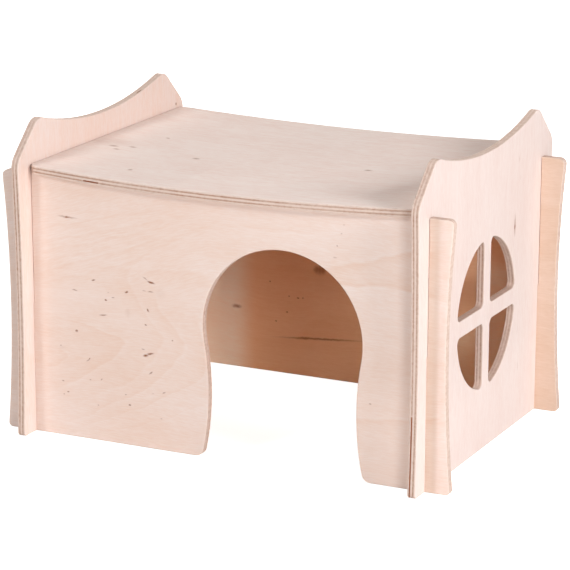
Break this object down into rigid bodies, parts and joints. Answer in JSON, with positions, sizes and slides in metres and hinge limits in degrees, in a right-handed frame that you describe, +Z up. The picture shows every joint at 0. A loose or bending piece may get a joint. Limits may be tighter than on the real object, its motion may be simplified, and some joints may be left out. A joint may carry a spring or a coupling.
{
  "type": "wooden hamster house",
  "caption": "Slot-together plywood house for small rodents, with a keyhole doorway, round windows, horned side walls and a lift-off dished roof.",
  "frame": {"origin": "on the ground, under the middle of the house's bounding box", "axes": "+Z up, the doorway's wall faces -Y, +X to the right seen from the front"},
  "size_m": [0.2318, 0.1648, 0.1523],
  "materials": {
    "birch_plywood_front": "sanded, unfinished, grain along X",
    "birch_plywood_back": "sanded, unfinished, grain along X",
    "birch_plywood_sides": "sanded, unfinished, grain along Z",
    "birch_plywood_roof": "sanded, unfinished, grain along X"
  },
  "bodies": {
    "house": {"front_panel": "birch_plywood_front", "back_panel": "birch_plywood_back", "left_side_panel": "birch_plywood_sides", "right_side_panel": "birch_plywood_sides"},
    "roof": {"roof_panel": "birch_plywood_roof"}
  },
  "joints": [
    {"name": "roof_lift", "type": "slide", "parent": "house", "child": "roof", "axis": [0, 0, 1], "range_m": [0, 0.04]}
  ]
}
